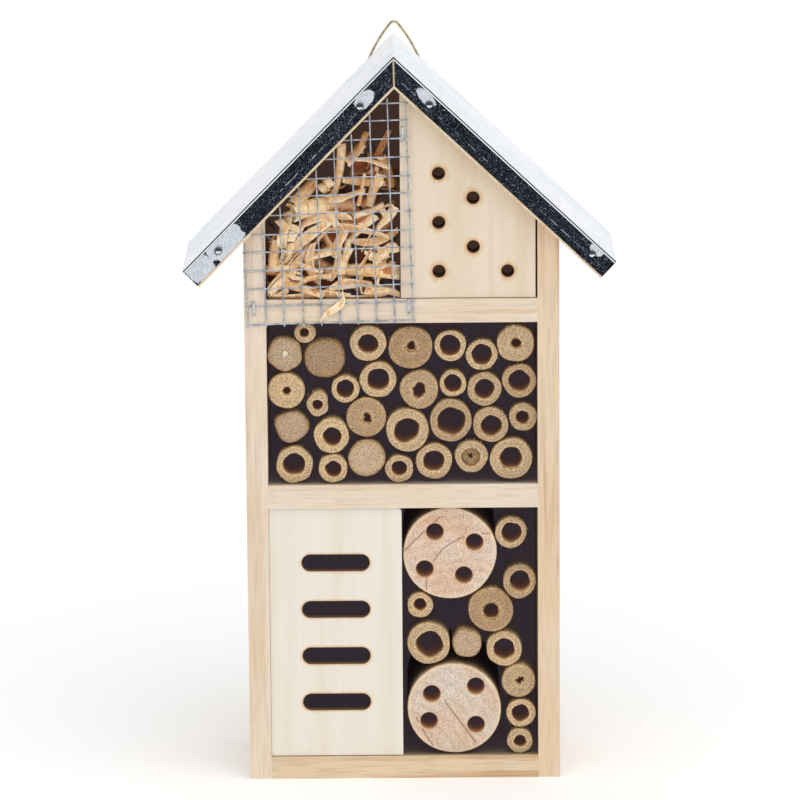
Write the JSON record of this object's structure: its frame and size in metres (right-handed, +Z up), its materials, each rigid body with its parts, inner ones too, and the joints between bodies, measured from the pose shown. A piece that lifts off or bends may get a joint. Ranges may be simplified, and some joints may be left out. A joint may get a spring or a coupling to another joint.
{
  "type": "insect hotel",
  "caption": "Small wooden insect hotel with a metal gable roof, cane-filled rooms, drilled logs, a slotted panel, a wire-mesh attic with shavings and a wire hanger at the back.",
  "frame": {"origin": "centre of the body's underside, the face that it stands on", "axes": "+Z up, the front faces -Y, +X to the right seen from the front"},
  "size_m": [0.178, 0.0729, 0.3115],
  "materials": {
    "pine": "raw planed pine",
    "dark_panel": "rough fibreboard, dark inside",
    "panel_wood": "pale plywood with scorched cut edges",
    "log_wood": "sawn end grain with bark rim",
    "stem_wood": "pithy stem",
    "bamboo": "cut cane, satin skin",
    "shavings": "curled shavings",
    "mesh_wire": "galvanised wire",
    "nail_steel": "bright steel",
    "galvanised": "galvanised sheet",
    "brass_wire": "brassed wire"
  },
  "bodies": {
    "house": {"attic_divider": "pine", "back_panel": "dark_panel", "butterfly_panel": "panel_wood", "cane_02": "bamboo", "cane_04": "bamboo", "cane_05": "bamboo", "cane_06": "bamboo", "cane_07": "bamboo", "cane_08": "bamboo", "cane_09": "bamboo", "cane_10": "bamboo", "cane_11": "bamboo", "cane_12": "bamboo", "cane_13": "bamboo", "cane_14": "bamboo", "cane_15": "bamboo", "cane_16": "bamboo", "cane_18": "bamboo", "cane_19": "bamboo", "cane_20": "bamboo", "cane_21": "bamboo", "cane_22": "bamboo", "cane_23": "bamboo", "cane_24": "bamboo", "cane_25": "bamboo", "cane_27": "bamboo", "cane_28": "bamboo", "cane_29": "bamboo", "cane_30": "bamboo", "cane_31": "bamboo", "cane_32": "bamboo", "cane_33": "bamboo", "cane_34": "bamboo", "cane_35": "bamboo", "cane_37": "bamboo", "cane_38": "bamboo", "cane_39": "bamboo", "cane_40": "bamboo", "drilled_log_lower": "log_wood", "drilled_log_upper": "log_wood", "drilled_panel": "panel_wood", "floor_board": "pine", "frame_nails": "nail_steel", "hanger_screws": "nail_steel", "hanger_strap": "galvanised", "left_side_board": "pine", "lower_divider": "pine", "mesh_staples": "nail_steel", "middle_shelf": "pine", "right_side_board": "pine", "roof_board_left": "pine", "roof_board_right": "pine", "roof_nails": "nail_steel", "roof_sheet": "galvanised", "solid_stems": "stem_wood", "upper_shelf": "pine", "wire_mesh": "mesh_wire", "wood_shavings": "shavings"},
    "ring": {"hanger_ring": "brass_wire"}
  },
  "joints": [
    {"name": "ring_hinge", "type": "hinge", "parent": "house", "child": "ring", "pos_m": [-0.0024, 0.03318, 0.29003], "axis": [-1, 0, 0], "range_deg": [0, 170]}
  ]
}
